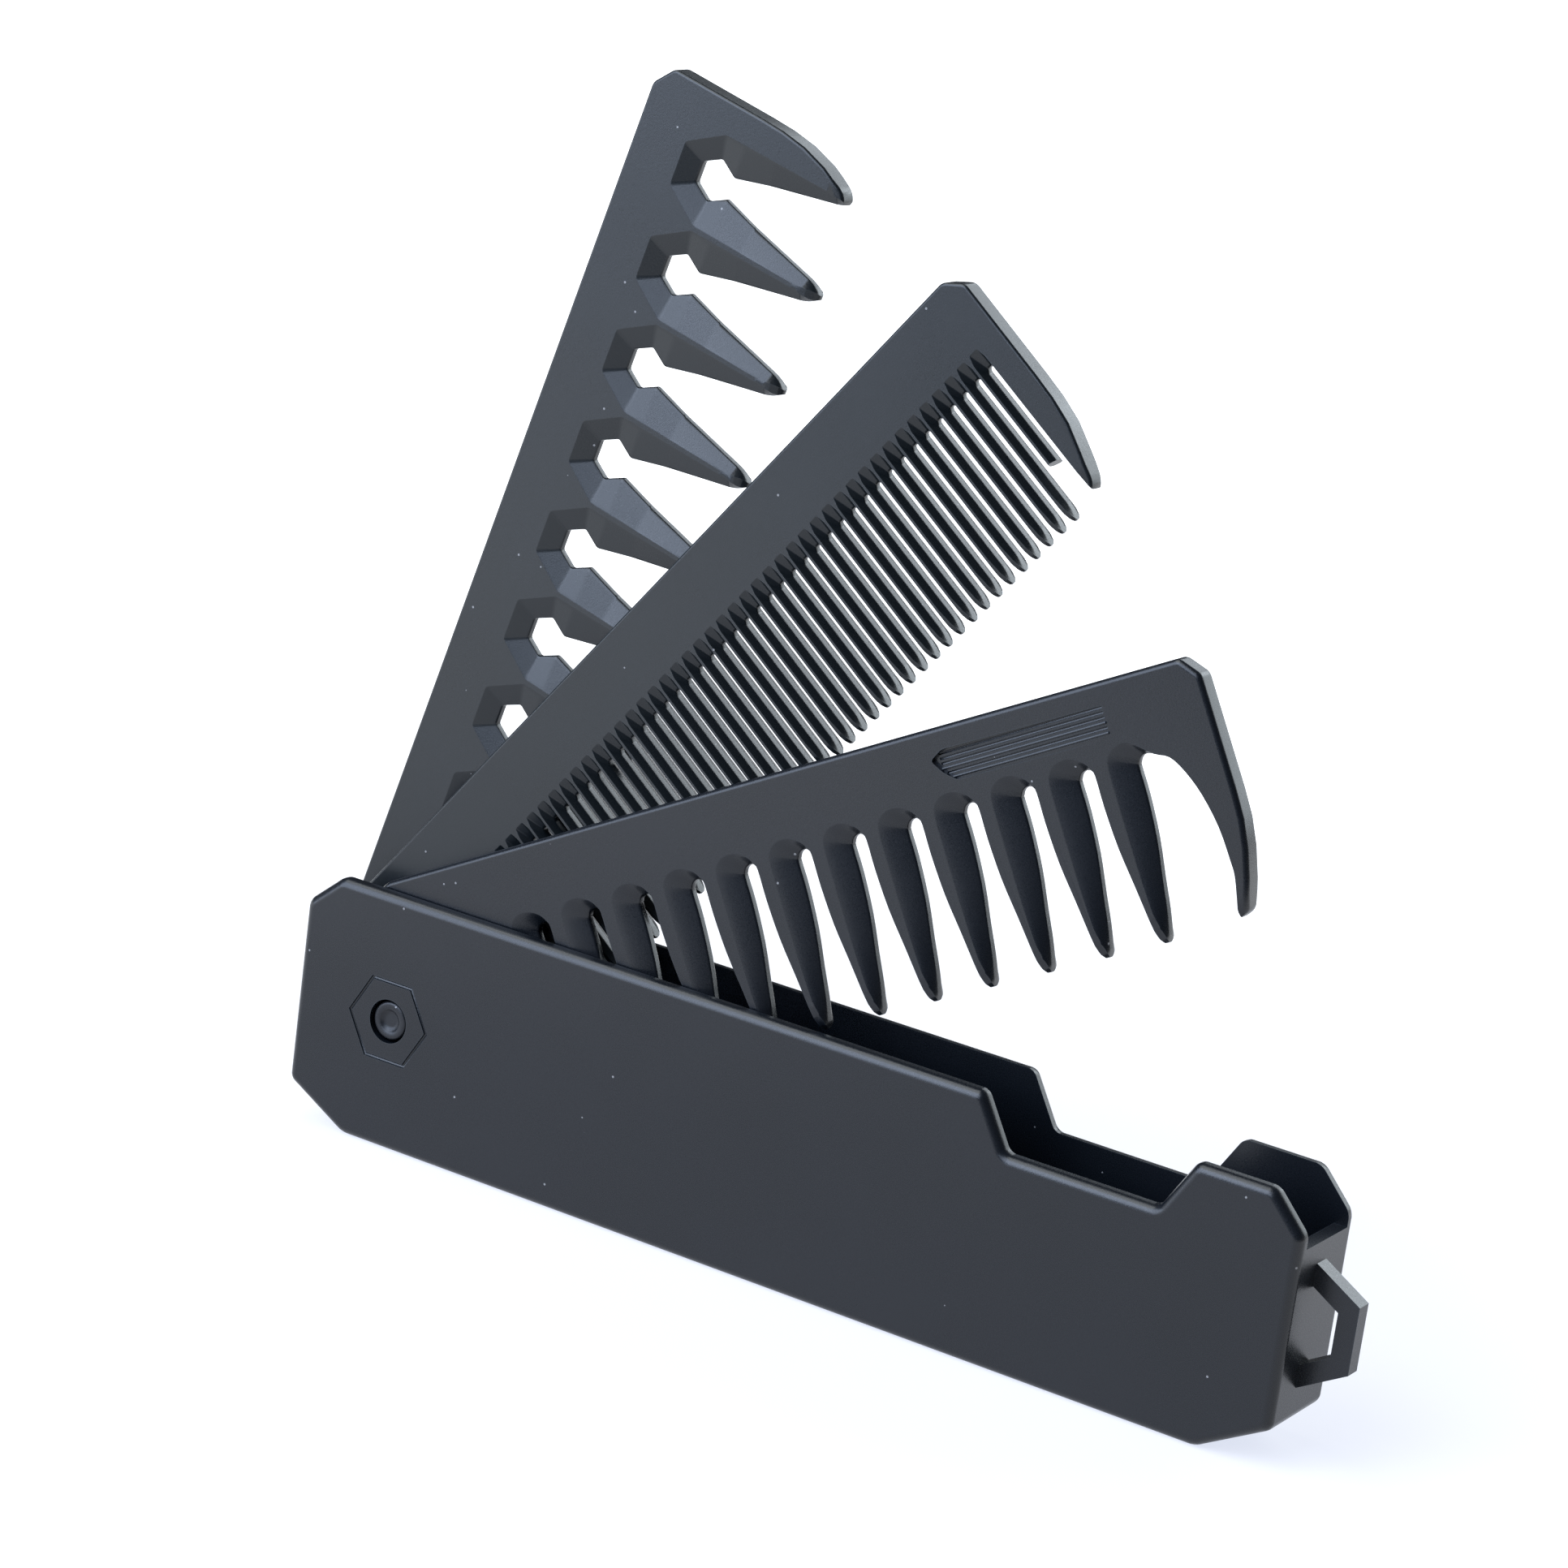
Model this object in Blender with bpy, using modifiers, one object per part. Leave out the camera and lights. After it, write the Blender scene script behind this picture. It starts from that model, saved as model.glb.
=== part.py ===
"""A folding pocket comb: three combs on one pivot pin, which fold into a moulded case.

Units are metres, +Z is up and the case stands on z = 0. The case runs along X, its loop is at +X,
and its front face looks along -Y. A comb is modelled in its own frame: u runs along X from the
pivot, v runs along Z towards the spine, and its middle plane is at y = 0.
"""

import math

import bmesh
import bpy

MM = 0.001

# Case
CASE_LENGTH = 130.0 * MM
CASE_WIDTH = 12.8 * MM
CASE_HEIGHT = 30.45 * MM
SIDE_WALL = 1.6 * MM
FLOOR = 1.0 * MM
FLOOR_START = 12.8 * MM
END_WALL = 1.6 * MM
END_WALL_TOP = 24.65 * MM
EDGE_ROUND = 1.1 * MM
LOW_LEFT_CHAMFER = (8.25 * MM, 4.45 * MM)
LOW_RIGHT_CHAMFER = (8.3 * MM, 4.7 * MM)
TOP_RIGHT_CHAMFER = (4.0 * MM, 4.2 * MM)
TOP_LEFT_CHAMFER = (4.5 * MM, 3.9 * MM)

# Finger notch in the top edge, as distances from the pivot end of the case
NOTCH_START = 91.1 * MM
NOTCH_FLOOR_START = 94.7 * MM
NOTCH_FLOOR_END = 113.2 * MM
NOTCH_END = 116.8 * MM
NOTCH_FLOOR = 24.35 * MM

# Key loop on the end wall: half of a hexagon, with a hole of the same shape
LOOP_MIDDLE = 15.25 * MM
LOOP_ROOT_HALF = 7.0 * MM
LOOP_TIP_HALF = 3.8 * MM
LOOP_REACH = 5.5 * MM
LOOP_HOLE_ROOT_HALF = 4.4 * MM
LOOP_HOLE_TIP_HALF = 2.5 * MM
LOOP_HOLE_REACH = 3.2 * MM
LOOP_THICKNESS = 2.1 * MM
LOOP_FORWARD = 0.35 * MM
LOOP_EDGE = 0.18 * MM

# Pivot
PIVOT_FROM_END = 13.4 * MM
PIVOT_HEIGHT = 15.45 * MM
PIN_RADIUS = 2.3 * MM
PIN_CLEARANCE = 0.3 * MM
BORE_RADIUS = PIN_RADIUS + PIN_CLEARANCE
PIN_RECESS = 0.3 * MM
PIN_CORNER = 0.35 * MM
DISH_RADIUS = 1.35 * MM
DISH_FLAT = 0.9 * MM
DISH_DEPTH = 0.45 * MM
HEXAGON_RADIUS = 5.45 * MM
GROOVE_RADIUS = 0.24 * MM
ROUND_SIDES = 32

# Combs
COMB_THICKNESS = 2.8 * MM
COMB_GAP = 0.3 * MM
LAND = 0.9 * MM
SPINE_START = 4.0 * MM
HEEL_RADIUS = 12.6 * MM
HEEL_FROM = 100
HEEL_TO = 300
HEEL_STEPS = 10
TIP_TAPER = 0.6 * MM
TIP_TAPER_START = -10.5 * MM
BELOW_TIPS = -16.0 * MM
OPEN_ANGLE = {"detangling_comb": 75.0, "fine_comb": 52.8, "wide_comb": 28.4}
SPINE_AT_HEEL = {"detangling_comb": 14.55 * MM, "fine_comb": 15.0 * MM, "wide_comb": 15.45 * MM}
EDGE = {"detangling_comb": 0.35 * MM, "fine_comb": 0.35 * MM, "wide_comb": 0.6 * MM}

# Gaps between teeth: first middle, or first left wall on the wide comb, then the pitch and number
DETANGLING_GAPS = (104.85 * MM, 11.4 * MM, 8)
FINE_GAPS = (109.45 * MM, 2.1 * MM, 43)
WIDE_GAPS = (103.3 * MM, 7.35 * MM, 12)

# The last tooth but one of the fine comb is short, with a blunt point
SHORT_TOOTH_TIP = -7.8 * MM
SHORT_TOOTH_POINT = 0.4 * MM
SHORT_TOOTH_HALF = 0.8 * MM

# Ribbed thumb grip of the wide comb: grooves that run out along the comb
GRIP_START = 80.0 * MM
GRIP_END = 100.6 * MM
GRIP_LOW = 9.2 * MM
GRIP_PITCH = 0.75 * MM
GRIP_RIBS = 5
GRIP_STAGGER = 0.45 * MM
GRIP_LONGEST = 3
GRIP_DEPTH = 0.8 * MM
GRIP_ROD = 0.55 * MM
GRIP_SIDES = 8

PIVOT_X = PIVOT_FROM_END - CASE_LENGTH / 2
COMB_PITCH = COMB_THICKNESS + COMB_GAP
PAST = 0.05 * MM

# The end of each comb from its lower edge up to the spine: u and v, in millimetres
DETANGLING_END = (
    (105.0, -13.9),
    (109.6, -12.7),
    (110.4, -12.7),
    (111.1, -12.0),
    (112.4, -9.2),
    (113.3, -6.1),
    (113.7, -3.0),
    (113.8, 0.0),
    (113.9, 12.2),
    (111.4, 14.3),
)
FINE_END = (
    (108.0, -13.8),
    (110.4, -12.6),
    (110.7, -12.6),
    (111.0, -12.2),
    (112.0, -9.3),
    (113.0, -6.1),
    (113.4, -3.0),
    (113.5, 0.0),
    (113.6, 12.5),
    (111.6, 14.45),
)
WIDE_END = (
    (106.0, -13.4),
    (110.0, -12.5),
    (110.5, -12.6),
    (111.2, -12.2),
    (112.3, -9.2),
    (113.2, -6.0),
    (113.7, -3.0),
    (113.8, 0.0),
    (113.7, 12.4),
    (111.7, 14.6),
)

# The lower edge beside the heel, towards the teeth
DETANGLING_HEEL_EDGE = ((15.5, -10.2), (18.6, -13.9))
FINE_HEEL_EDGE = ((15.5, -10.5), (18.5, -13.8))
WIDE_HEEL_EDGE = ((13.5, -10.5), (16.0, -13.4))

# Detangling gap: half width and v at the middle land, then half width and v at the face
DETANGLING_TABLE = (
    (1.25, 5.4, 2.55, 7.8),
    (2.50, 3.25, 5.40, 3.3),
    (1.25, 1.1, 5.40, 0.6),
    (2.50, -3.4, 5.42, -3.4),
    (4.60, -12.4, 5.48, -12.2),
    (5.10, -13.5, 5.52, -13.5),
    (5.50, -15.0, 5.62, -15.0),
)

# Fine gap, and the plain wall on the guard side of the first one, in the same columns
FINE_TABLE = (
    (0.26, 4.5, 0.60, 6.6),
    (0.50, 4.0, 0.90, 5.4),
    (0.52, -12.0, 0.90, -12.0),
    (0.72, -13.2, 0.92, -13.2),
    (1.00, -14.8, 1.02, -14.8),
)
FINE_GUARD_TABLE = (
    (0.30, 4.5, 0.60, 6.6),
    (0.80, 4.0, 0.88, 5.4),
    (0.85, -12.0, 0.90, -12.0),
    (0.85, -13.2, 0.90, -13.2),
    (0.85, -14.8, 0.90, -14.8),
)

# Wide gap from its lower left round the root to its lower right: u from the left wall of the gap
# and v at the middle land, then u and v at the face. The left side is the long scooped facet.
WIDE_LEFT_TABLE = (
    (-2.45, -14.4, -2.55, -14.4),
    (-2.10, -12.5, -2.60, -12.5),
    (-1.55, -10.0, -2.75, -10.0),
    (-1.05, -6.8, -2.90, -6.8),
    (-0.35, -2.6, -2.95, -2.6),
    (0.00, 1.9, -2.95, 2.4),
    (0.00, 4.9, -2.95, 5.9),
    (0.32, 5.7, -2.20, 7.6),
    (1.15, 6.05, -0.40, 8.2),
)
WIDE_RIGHT_TABLE = (
    (1.98, 5.7, 1.60, 7.3),
    (2.30, 4.9, 2.75, 5.6),
    (2.35, 1.9, 2.55, 1.9),
    (2.60, -2.5, 2.80, -2.5),
    (3.20, -6.8, 3.40, -6.8),
    (3.70, -10.4, 3.88, -10.4),
    (4.10, -12.6, 4.24, -12.6),
    (4.35, -14.4, 4.38, -14.4),
)
END_GAP_RIGHT_TABLE = (
    (2.40, 5.8, 2.60, 5.9),
    (4.10, 5.0, 4.30, 5.1),
    (5.40, 3.2, 5.60, 3.2),
    (6.50, 0.5, 6.70, 0.5),
    (7.30, -3.1, 7.50, -3.1),
    (7.50, -6.7, 7.70, -6.7),
    (7.50, -8.4, 7.70, -8.4),
    (6.90, -10.8, 7.10, -10.8),
    (6.30, -14.4, 6.32, -14.4),
)


def linear(channel):
    """One sRGB channel, 0 to 255, as a linear value."""
    value = channel / 255
    return value / 12.92 if value <= 0.04045 else ((value + 0.055) / 1.055) ** 2.4


def plastic(name, colour, roughness, metallic=0.0):
    """A Principled material with one colour."""
    material = bpy.data.materials.new(name)
    material.use_nodes = True
    shader = material.node_tree.nodes["Principled BSDF"]
    shader.inputs["Base Color"].default_value = [linear(c) for c in colour] + [1.0]
    shader.inputs["Roughness"].default_value = roughness
    shader.inputs["Metallic"].default_value = metallic
    return material


def collection(name, parent):
    made = bpy.data.collections.new(name)
    parent.children.link(made)
    return made


def add_object(name, mesh, owner):
    made = bpy.data.objects.new(name, mesh)
    owner.objects.link(made)
    return made


def mark_cutter(cutter, carrier=None):
    """A cutter shows as wire, is left out of renders and moves with what it cuts."""
    cutter.hide_render = True
    cutter.display_type = "WIRE"
    cutter.parent = carrier
    return cutter


def curve_to_mesh(name, curve, owner):
    """The curve's evaluated mesh, turned from the XY plane to the XZ plane, with welded caps."""
    source = add_object(name + "_outline", curve, bpy.context.scene.collection)
    source.rotation_euler = (math.pi / 2, 0, 0)
    bpy.context.view_layer.update()
    graph = bpy.context.evaluated_depsgraph_get()
    mesh = bpy.data.meshes.new_from_object(source.evaluated_get(graph))
    mesh.name = name
    mesh.transform(source.matrix_world)
    bpy.data.objects.remove(source)
    bpy.data.curves.remove(curve)
    work = bmesh.new()
    work.from_mesh(mesh)
    bmesh.ops.remove_doubles(work, verts=work.verts, dist=0.001 * MM)
    bmesh.ops.dissolve_limit(work, angle_limit=math.radians(0.5), verts=work.verts, edges=work.edges)
    bmesh.ops.recalc_face_normals(work, faces=work.faces)
    work.to_mesh(mesh)
    work.free()
    return add_object(name, mesh, owner)


def prism(name, outline, thickness, owner):
    """A flat closed outline of (x, z) points, extruded to both sides of y = 0."""
    curve = bpy.data.curves.new(name, "CURVE")
    curve.dimensions = "2D"
    curve.fill_mode = "BOTH"
    curve.extrude = thickness / 2
    spline = curve.splines.new("POLY")
    spline.points.add(len(outline) - 1)
    for point, (x, z) in zip(spline.points, outline):
        point.co = (x, z, 0, 1)
    spline.use_cyclic_u = True
    return curve_to_mesh(name, curve, owner)


def loft(name, sections, owner):
    """A closed solid through rings that all have the same number of points."""
    work = bmesh.new()
    rings = [[work.verts.new(point) for point in section] for section in sections]
    for ring, following in zip(rings, rings[1:]):
        for index in range(len(ring)):
            after = (index + 1) % len(ring)
            work.faces.new((ring[index], ring[after], following[after], following[index]))
    work.faces.new(rings[0])
    work.faces.new(rings[-1])
    bmesh.ops.recalc_face_normals(work, faces=work.faces)
    mesh = bpy.data.meshes.new(name)
    work.to_mesh(mesh)
    work.free()
    return add_object(name, mesh, owner)


def cylinder(name, radius, length, sides, owner):
    """A cylinder along Y with its middle at the origin."""
    work = bmesh.new()
    bmesh.ops.create_cone(work, cap_ends=True, segments=sides, radius1=radius, radius2=radius, depth=length)
    mesh = bpy.data.meshes.new(name)
    work.to_mesh(mesh)
    work.free()
    made = add_object(name, mesh, owner)
    made.rotation_euler = (math.pi / 2, 0, 0)
    return made


def round_edges(target, width, segments):
    """Rounds the edges between the flat faces and the sides, not the corners of the outline."""
    bevel = target.modifiers.new("Rounded edges", "BEVEL")
    bevel.width = width
    bevel.segments = segments
    bevel.limit_method = "ANGLE"
    bevel.angle_limit = math.radians(70)


def cut(target, cutters):
    """Takes every solid of one collection out of the target."""
    boolean = target.modifiers.new("Cut " + cutters.name, "BOOLEAN")
    boolean.operation = "DIFFERENCE"
    boolean.solver = "EXACT"
    boolean.operand_type = "COLLECTION"
    boolean.collection = cutters


def join(target, other):
    boolean = target.modifiers.new("Join " + other.name, "BOOLEAN")
    boolean.operation = "UNION"
    boolean.solver = "EXACT"
    boolean.object = other


def shade(target):
    target.data.shade_smooth()
    target.data.set_sharp_from_angle(angle=math.radians(30))


def in_metres(points):
    return [(first * MM, second * MM) for first, second in points]


def from_end(points):
    """Points whose x is a distance from the pivot end of the case, moved to the part's own x."""
    return [(x - CASE_LENGTH / 2, z) for x, z in points]


def case_outline():
    """The outline of both side plates, anticlockwise from the low left chamfer."""
    right = CASE_LENGTH
    top = CASE_HEIGHT
    points = [
        (LOW_LEFT_CHAMFER[0], 0),
        (right - LOW_RIGHT_CHAMFER[0], 0),
        (right, LOW_RIGHT_CHAMFER[1]),
        (right, top - TOP_RIGHT_CHAMFER[1]),
        (right - TOP_RIGHT_CHAMFER[0], top),
        (NOTCH_END, top),
        (NOTCH_FLOOR_END, NOTCH_FLOOR),
        (NOTCH_FLOOR_START, NOTCH_FLOOR),
        (NOTCH_START, top),
        (TOP_LEFT_CHAMFER[0], top),
        (0, top - TOP_LEFT_CHAMFER[1]),
        (0, LOW_LEFT_CHAMFER[1]),
    ]
    return from_end(points)


def cavity_outline():
    """The room for the combs: open at the top, at the pivot end and over the end wall."""
    past = 5 * MM
    inner_end = CASE_LENGTH - END_WALL
    slope = LOW_RIGHT_CHAMFER[1] / LOW_RIGHT_CHAMFER[0]
    lift = FLOOR * math.hypot(1, slope)
    bend = CASE_LENGTH - LOW_RIGHT_CHAMFER[0] + (FLOOR - lift) / slope
    points = [
        (-past, -past),
        (FLOOR_START, -past),
        (FLOOR_START, FLOOR),
        (bend, FLOOR),
        (inner_end, lift + slope * (inner_end - CASE_LENGTH + LOW_RIGHT_CHAMFER[0])),
        (inner_end, END_WALL_TOP),
        (CASE_LENGTH + past, END_WALL_TOP),
        (CASE_LENGTH + past, CASE_HEIGHT + past),
        (-past, CASE_HEIGHT + past),
    ]
    return from_end(points)


def half_hexagon(root, tip, reach):
    """Half a hexagon on the end wall, from its low corner round to its high corner."""
    low = [(CASE_LENGTH, LOOP_MIDDLE - root), (CASE_LENGTH + reach, LOOP_MIDDLE - tip)]
    high = [(CASE_LENGTH + reach, LOOP_MIDDLE + tip), (CASE_LENGTH, LOOP_MIDDLE + root)]
    return low + high


def loop_outline():
    """The loop's outline, with a straight root inside the end wall."""
    corners = half_hexagon(LOOP_ROOT_HALF, LOOP_TIP_HALF, LOOP_REACH)
    inside = CASE_LENGTH - END_WALL / 2
    return from_end([(inside, corners[0][1])] + corners + [(inside, corners[-1][1])])


def loop_hole_outline():
    return from_end(half_hexagon(LOOP_HOLE_ROOT_HALF, LOOP_HOLE_TIP_HALF, LOOP_HOLE_REACH))


def hexagon_groove(name, owner):
    """A round wire bent to a hexagon, whose lower half engraves the line about the pivot."""
    curve = bpy.data.curves.new(name, "CURVE")
    curve.dimensions = "3D"
    curve.bevel_depth = GROOVE_RADIUS
    curve.bevel_resolution = 1
    spline = curve.splines.new("POLY")
    spline.points.add(5)
    for index, point in enumerate(spline.points):
        angle = index * math.pi / 3
        point.co = (HEXAGON_RADIUS * math.cos(angle), HEXAGON_RADIUS * math.sin(angle), 0, 1)
    spline.use_cyclic_u = True
    return curve_to_mesh(name, curve, owner)


def make_case(parts, helpers, material):
    case = prism("case", case_outline(), CASE_WIDTH, parts)
    case.data.materials.append(material)
    round_edges(case, EDGE_ROUND, 2)
    loop = mark_cutter(prism("loop_plate", loop_outline(), LOOP_THICKNESS, helpers))
    loop.location = (0, -LOOP_FORWARD, 0)
    round_edges(loop, LOOP_EDGE, 1)
    join(case, loop)
    cutters = collection("case_cutters", helpers)
    mark_cutter(prism("cavity", cavity_outline(), CASE_WIDTH - 2 * SIDE_WALL, cutters))
    mark_cutter(prism("loop_hole", loop_hole_outline(), 2 * LOOP_THICKNESS, cutters))
    bore = mark_cutter(cylinder("pin_holes", BORE_RADIUS, 2 * CASE_WIDTH, ROUND_SIDES, cutters))
    bore.location = (PIVOT_X, 0, PIVOT_HEIGHT)
    groove = mark_cutter(hexagon_groove("hexagon_line", cutters))
    groove.location = (PIVOT_X, -CASE_WIDTH / 2, PIVOT_HEIGHT)
    cut(case, cutters)
    shade(case)
    return case


def make_pin(parts, material):
    """The pin is turned about Z and then laid along Y. Its front head is dished."""
    half = CASE_WIDTH / 2 - PIN_RECESS
    profile = [
        (0, half - DISH_DEPTH),
        (DISH_FLAT, half - 0.9 * DISH_DEPTH),
        (DISH_RADIUS, half),
        (PIN_RADIUS - PIN_CORNER, half),
        (PIN_RADIUS, half - PIN_CORNER),
        (PIN_RADIUS, -half + PIN_CORNER),
        (PIN_RADIUS - PIN_CORNER, -half),
        (0, -half),
    ]
    mesh = bpy.data.meshes.new("pivot_pin")
    edges = [(index, index + 1) for index in range(len(profile) - 1)]
    mesh.from_pydata([(r, 0, z) for r, z in profile], edges, [])
    pin = add_object("pivot_pin", mesh, parts)
    pin.location = (PIVOT_X, 0, PIVOT_HEIGHT)
    pin.rotation_euler = (math.pi / 2, 0, 0)
    screw = pin.modifiers.new("Turned", "SCREW")
    screw.steps = ROUND_SIDES
    screw.render_steps = ROUND_SIDES
    screw.use_merge_vertices = True
    screw.merge_threshold = 0.00001
    screw.use_smooth_shade = True
    pin.data.materials.append(material)
    return pin


def heel():
    """The rounded end about the pivot, from the start of the spine round to under the comb."""
    step = (HEEL_TO - HEEL_FROM) / HEEL_STEPS
    angles = [math.radians(HEEL_FROM + step * index) for index in range(HEEL_STEPS + 1)]
    return [(HEEL_RADIUS * math.cos(a), HEEL_RADIUS * math.sin(a)) for a in angles]


def comb_outline(end_table, spine_start, heel_table):
    """The end of the comb from its lower edge up, then the spine, the heel and the lower edge."""
    return in_metres(end_table) + [spine_start] + heel() + in_metres(heel_table)


def gap_rings(inner, outer):
    """Rings through the comb: outer at both faces, inner over the land at the middle."""
    half = COMB_THICKNESS / 2
    grow = (half + PAST - LAND / 2) / (half - LAND / 2)
    wide = [(ui + (uo - ui) * grow, vi + (vo - vi) * grow) for (ui, vi), (uo, vo) in zip(inner, outer)]
    places = ((-half - PAST, wide), (-LAND / 2, inner), (LAND / 2, inner), (half + PAST, wide))
    return [[(u, y, v) for u, v in ring] for y, ring in places]


def symmetric_rings(right_table, left_table, middle):
    """A gap from half widths: down its right side, then up its left side."""
    right = [(middle + a * MM, b * MM, middle + c * MM, d * MM) for a, b, c, d in right_table]
    left = [(middle - a * MM, b * MM, middle - c * MM, d * MM) for a, b, c, d in reversed(left_table)]
    rows = right + left
    return gap_rings([row[:2] for row in rows], [row[2:] for row in rows])


def wide_rings(right_table, wall):
    """A gap of the wide comb, whose two sides differ."""
    rows = WIDE_LEFT_TABLE + right_table
    inner = [(wall + row[0] * MM, row[1] * MM) for row in rows]
    outer = [(wall + row[2] * MM, row[3] * MM) for row in rows]
    return gap_rings(inner, outer)


def taper_cutter(name, side, carrier, owner):
    """A long wedge that thins the tooth tips on one face. Side is -1 at the front, 1 at the back."""
    face = COMB_THICKNESS / 2
    section = [
        (face + MM, TIP_TAPER_START),
        (face, TIP_TAPER_START),
        (face - TIP_TAPER, BELOW_TIPS),
        (face + MM, BELOW_TIPS),
    ]
    sections = [[(u, side * y, v) for y, v in section] for u in (10 * MM, 118 * MM)]
    return mark_cutter(loft(name, sections, owner), carrier)


def make_comb(name, layer, end_table, heel_table, parts, helpers, material):
    """A plate on the pivot at its opening angle, with its bore and its tapered tips cut."""
    outline = comb_outline(end_table, (SPINE_START, SPINE_AT_HEEL[name]), heel_table)
    comb = prism(name, outline, COMB_THICKNESS, parts)
    comb.location = (PIVOT_X, layer * COMB_PITCH, PIVOT_HEIGHT)
    comb.rotation_euler = (0, -math.radians(OPEN_ANGLE[name]), 0)
    comb.data.materials.append(material)
    round_edges(comb, EDGE[name], 1)
    cutters = collection(name + "_cutters", helpers)
    mark_cutter(cylinder(name + "_bore", BORE_RADIUS, 2 * COMB_THICKNESS, ROUND_SIDES, cutters), comb)
    for side in (-1, 1):
        taper_cutter(f"{name}_taper_{side}", side, comb, cutters)
    cut(comb, cutters)
    shade(comb)
    return comb, cutters


def make_detangling_comb(parts, helpers, material):
    shape = (DETANGLING_END, DETANGLING_HEEL_EDGE)
    comb, cutters = make_comb("detangling_comb", 1, *shape, parts, helpers, material)
    first, pitch, count = DETANGLING_GAPS
    for index in range(count):
        rings = symmetric_rings(DETANGLING_TABLE, DETANGLING_TABLE, first - index * pitch)
        mark_cutter(loft(f"detangling_gap_{index}", rings, cutters), comb)
    return comb


def short_tooth_cutter(middle, owner):
    """The block that takes the end off the short tooth and leaves a blunt point."""
    left = middle - SHORT_TOOTH_HALF
    right = middle + SHORT_TOOTH_HALF
    shoulder = SHORT_TOOTH_TIP + SHORT_TOOTH_POINT
    outline = [
        (left, BELOW_TIPS),
        (right, BELOW_TIPS),
        (right, shoulder),
        (middle, SHORT_TOOTH_TIP),
        (left, shoulder),
    ]
    return prism("short_tooth_end", outline, 2 * COMB_THICKNESS, owner)


def make_fine_comb(parts, helpers, material):
    shape = (FINE_END, FINE_HEEL_EDGE)
    comb, cutters = make_comb("fine_comb", 0, *shape, parts, helpers, material)
    first, pitch, count = FINE_GAPS
    for index in range(count):
        right_table = FINE_GUARD_TABLE if index == 0 else FINE_TABLE
        rings = symmetric_rings(right_table, FINE_TABLE, first - index * pitch)
        mark_cutter(loft(f"fine_gap_{index}", rings, cutters), comb)
    mark_cutter(short_tooth_cutter(first - pitch / 2, cutters), comb)
    return comb


def grip_rod(index, owner):
    """One sloping rod, which cuts deepest at its start and runs out at the end of the grip."""
    slope = GRIP_DEPTH / (GRIP_END - GRIP_START)
    start = GRIP_START + GRIP_STAGGER * abs(index - GRIP_LONGEST)
    length = 1.3 * (GRIP_END - start)
    middle = start + length / 2
    depth = slope * (GRIP_END - middle) - GRIP_ROD
    rod = cylinder(f"grip_rib_{index}", GRIP_ROD, length, GRIP_SIDES, owner)
    rod.rotation_euler = (0, math.pi / 2, -math.atan(slope))
    rod.location = (middle, depth - COMB_THICKNESS / 2, GRIP_LOW + index * GRIP_PITCH)
    return rod


def make_wide_comb(parts, helpers, material):
    shape = (WIDE_END, WIDE_HEEL_EDGE)
    comb, cutters = make_comb("wide_comb", -1, *shape, parts, helpers, material)
    first, pitch, count = WIDE_GAPS
    for index in range(count):
        right_table = END_GAP_RIGHT_TABLE if index == 0 else WIDE_RIGHT_TABLE
        rings = wide_rings(right_table, first - index * pitch)
        mark_cutter(loft(f"wide_gap_{index}", rings, cutters), comb)
    for index in range(GRIP_RIBS):
        mark_cutter(grip_rod(index, cutters), comb)
    return comb


def clear_scene():
    for thing in list(bpy.data.objects):
        bpy.data.objects.remove(thing)


def main():
    clear_scene()
    root = bpy.context.scene.collection
    parts = collection("folding_comb", root)
    helpers = collection("cutters", root)
    black = plastic("matt_black_plastic", (44, 48, 54), 0.42)
    charcoal = plastic("charcoal_plastic", (50, 56, 60), 0.46)
    steel = plastic("blackened_pin", (34, 36, 40), 0.34, 0.3)
    make_case(parts, helpers, black)
    make_pin(parts, steel)
    make_detangling_comb(parts, helpers, charcoal)
    make_fine_comb(parts, helpers, charcoal)
    make_wide_comb(parts, helpers, black)


main()
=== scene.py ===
# %% [markdown]
# # A folding pocket comb
#
# Three combs turn on one pivot pin and fold into a moulded case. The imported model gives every
# solid at its real size and place. This lesson dresses it: case, pin and combs are modelled again
# over their plain solids, with soft edges, slanting teeth and scoops, and get their worn plastic.

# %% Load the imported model
import math

import bmesh
import bpy
from mathutils import Matrix, Vector


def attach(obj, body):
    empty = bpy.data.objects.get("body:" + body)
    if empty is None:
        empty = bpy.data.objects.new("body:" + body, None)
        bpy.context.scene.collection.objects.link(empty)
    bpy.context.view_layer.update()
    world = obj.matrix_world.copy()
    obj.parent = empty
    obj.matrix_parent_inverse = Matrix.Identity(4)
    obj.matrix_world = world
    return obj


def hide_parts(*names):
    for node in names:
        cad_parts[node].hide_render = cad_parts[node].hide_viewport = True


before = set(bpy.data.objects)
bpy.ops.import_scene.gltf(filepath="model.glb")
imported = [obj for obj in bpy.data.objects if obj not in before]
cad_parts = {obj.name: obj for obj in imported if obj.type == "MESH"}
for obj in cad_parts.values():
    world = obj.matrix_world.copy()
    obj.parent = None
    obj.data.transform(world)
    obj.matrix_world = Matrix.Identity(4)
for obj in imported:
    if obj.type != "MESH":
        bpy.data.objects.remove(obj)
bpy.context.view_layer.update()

MM = 0.001

# %% [markdown]
# ## The bench
#
# Each piece starts as a primitive and is then shaped by hand tools. Those tools act on whatever
# is selected, and a freshly loaded model is selected all over, so every helper first lets go of
# everything. Faces and edges are picked in code by where they lie.

# %% Helpers for picking
def take(piece):
    """Lets go of everything else and makes this piece the active one."""
    bpy.ops.object.select_all(action="DESELECT")
    piece.select_set(True)
    bpy.context.view_layer.objects.active = piece


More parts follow.
